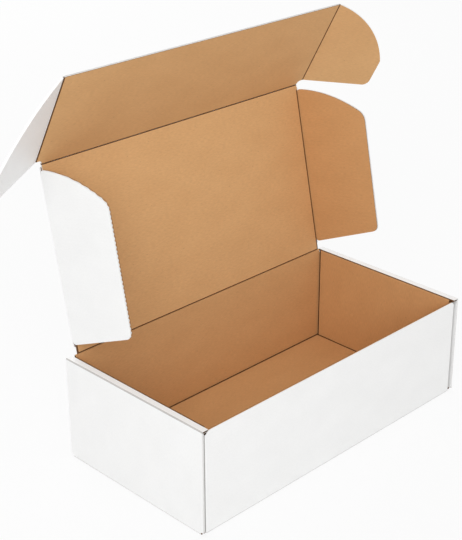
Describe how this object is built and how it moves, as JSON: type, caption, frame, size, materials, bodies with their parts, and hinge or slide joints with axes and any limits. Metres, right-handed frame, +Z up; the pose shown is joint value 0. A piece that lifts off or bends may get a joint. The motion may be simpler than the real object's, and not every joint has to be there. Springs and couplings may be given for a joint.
{
  "type": "corrugated mailer box",
  "caption": "Folding corrugated mailer box: tray with rolled double side walls, hinged lid with dust flaps, and a tuck front whose ears lock into slots in the sides.",
  "frame": {"origin": "centre of the tray's underside", "axes": "+X along the box's length, -Y out of the front wall, +Z up out of the tray"},
  "size_m": [0.4164, 0.1826, 0.3176],
  "materials": {
    "mailer_board": "matt E-flute board, white outer liner, bare kraft inner liner"
  },
  "bodies": {
    "tray": {"tray": "mailer_board"},
    "lid": {"lid": "mailer_board"},
    "left_dust_flap": {"left_dust_flap": "mailer_board"},
    "right_dust_flap": {"right_dust_flap": "mailer_board"},
    "tuck_panel": {"tuck_panel": "mailer_board"},
    "left_ear": {"left_ear": "mailer_board"},
    "right_ear": {"right_ear": "mailer_board"}
  },
  "joints": [
    {"name": "lid_hinge", "type": "hinge", "parent": "tray", "child": "lid", "pos_m": [0, 0.07485, 0.09065], "axis": [-1, 0, 0], "range_deg": [-101.5, 78.5]},
    {"name": "tuck_fold", "type": "hinge", "parent": "lid", "child": "tuck_panel", "pos_m": [0, 0.10525, 0.24009], "axis": [-1, 0, 0], "range_deg": [-49.5, 40.5]},
    {"name": "left_dust_fold", "type": "hinge", "parent": "lid", "child": "left_dust_flap", "pos_m": [-0.14115, 0.07485, 0.09065], "axis": [0, -0.1994, -0.9799], "range_deg": [0, 90]},
    {"name": "right_dust_fold", "type": "hinge", "parent": "lid", "child": "right_dust_flap", "pos_m": [0.14115, 0.07485, 0.09065], "axis": [0, 0.1994, 0.9799], "range_deg": [0, 90]},
    {"name": "left_ear_fold", "type": "hinge", "parent": "tuck_panel", "child": "left_ear", "pos_m": [-0.14715, 0.10525, 0.24009], "axis": [0, 0.4848, -0.8746], "range_deg": [-66, 24]},
    {"name": "right_ear_fold", "type": "hinge", "parent": "tuck_panel", "child": "right_ear", "pos_m": [0.14715, 0.10525, 0.24009], "axis": [0, -0.4848, 0.8746], "range_deg": [-66, 24]}
  ]
}
